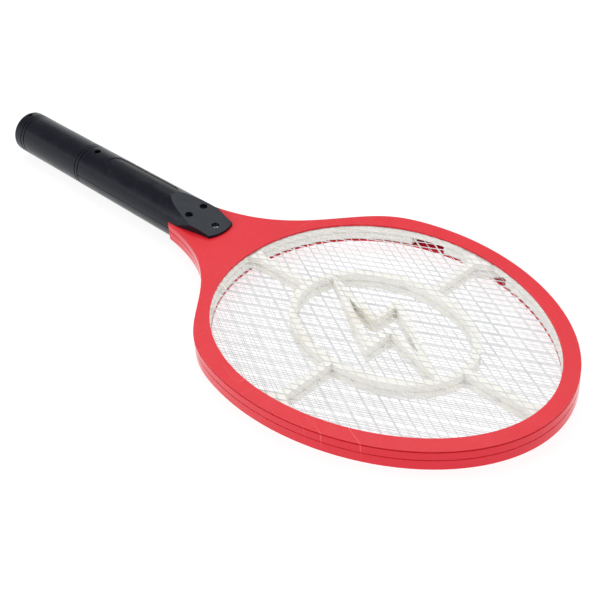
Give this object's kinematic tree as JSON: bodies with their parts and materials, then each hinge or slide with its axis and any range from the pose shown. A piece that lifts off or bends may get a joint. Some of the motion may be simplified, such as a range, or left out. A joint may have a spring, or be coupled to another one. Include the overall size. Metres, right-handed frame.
{
  "type": "electric fly swatter",
  "caption": "Hand-held racket with a round handle, an oval head of layered wire mesh in a two-part rim, and a pull-off rear cap over a flat-pin charging plug.",
  "frame": {"origin": "centre of the bounding box in plan, at the level of the lowest line of the handle", "axes": "+X along the swatter from the rear cap to the tip of the head, +Z out of the screw side"},
  "size_m": [0.45, 0.1848, 0.029],
  "materials": {
    "frame_red": "fine satin moulding",
    "handle_black": "fine satin moulding",
    "spacer_ivory": "slightly translucent moulding",
    "mesh_metal": "expanded sheet, bright",
    "plug_black": "smooth",
    "blade_metal": "nickel plated",
    "cell_wrap": "shrink sleeve",
    "board_green": "solder mask",
    "ferrite": "matt",
    "winding_tape": "tape",
    "capacitor_red": "dipped",
    "capacitor_yellow": "dipped",
    "component_black": "moulded",
    "resistor_tan": "lacquered",
    "led_red": "clear tinted",
    "button_red": "smooth",
    "knob_grey": "smooth",
    "switch_steel": "pressed sheet",
    "spring_steel": "drawn wire",
    "screw_zinc": "zinc plated",
    "wire_red": "insulated",
    "wire_black": "insulated",
    "wire_white": "insulated"
  },
  "bodies": {
    "handle_and_head": {"upper_frame_shell": "frame_red", "lower_frame_shell": "frame_red", "upper_spacer": "spacer_ivory", "lower_spacer": "spacer_ivory", "top_mesh": "mesh_metal", "centre_mesh": "mesh_metal", "bottom_mesh": "mesh_metal", "upper_handle_shell": "handle_black", "lower_handle_shell": "handle_black", "plug_block": "plug_black", "plug_blades": "blade_metal", "battery_cells": "cell_wrap", "circuit_board": "board_green", "transformer_core": "ferrite", "transformer_winding": "winding_tape", "hv_capacitor": "capacitor_red", "mains_capacitor": "capacitor_yellow", "diodes": "component_black", "resistors": "resistor_tan", "transistor": "component_black", "indicator_led": "led_red", "push_switch_body": "switch_steel", "button_spring": "spring_steel", "slide_switch_body": "switch_steel", "handle_screws": "screw_zinc", "tip_screw": "screw_zinc", "plug_leads": "wire_white", "battery_leads": "wire_red", "centre_mesh_lead": "wire_red", "outer_mesh_leads": "wire_black"},
    "cap": {"rear_cap": "handle_black"},
    "button": {"push_button": "button_red", "switch_plunger": "component_black"},
    "power_switch": {"slide_knob": "knob_grey"}
  },
  "joints": [
    {"name": "cap_pull", "type": "slide", "parent": "handle_and_head", "child": "cap", "axis": [-1, 0, 0], "range_m": [0, 0.056]},
    {"name": "button_press", "type": "slide", "parent": "handle_and_head", "child": "button", "axis": [0, 0, 1], "range_m": [0, 0.0012], "stiffness_N_per_m": 400, "springref_m": -0.001, "deforming": ["button_spring"]},
    {"name": "power_slide", "type": "slide", "parent": "handle_and_head", "child": "power_switch", "axis": [1, 0, 0], "range_m": [0, 0.0035]}
  ]
}
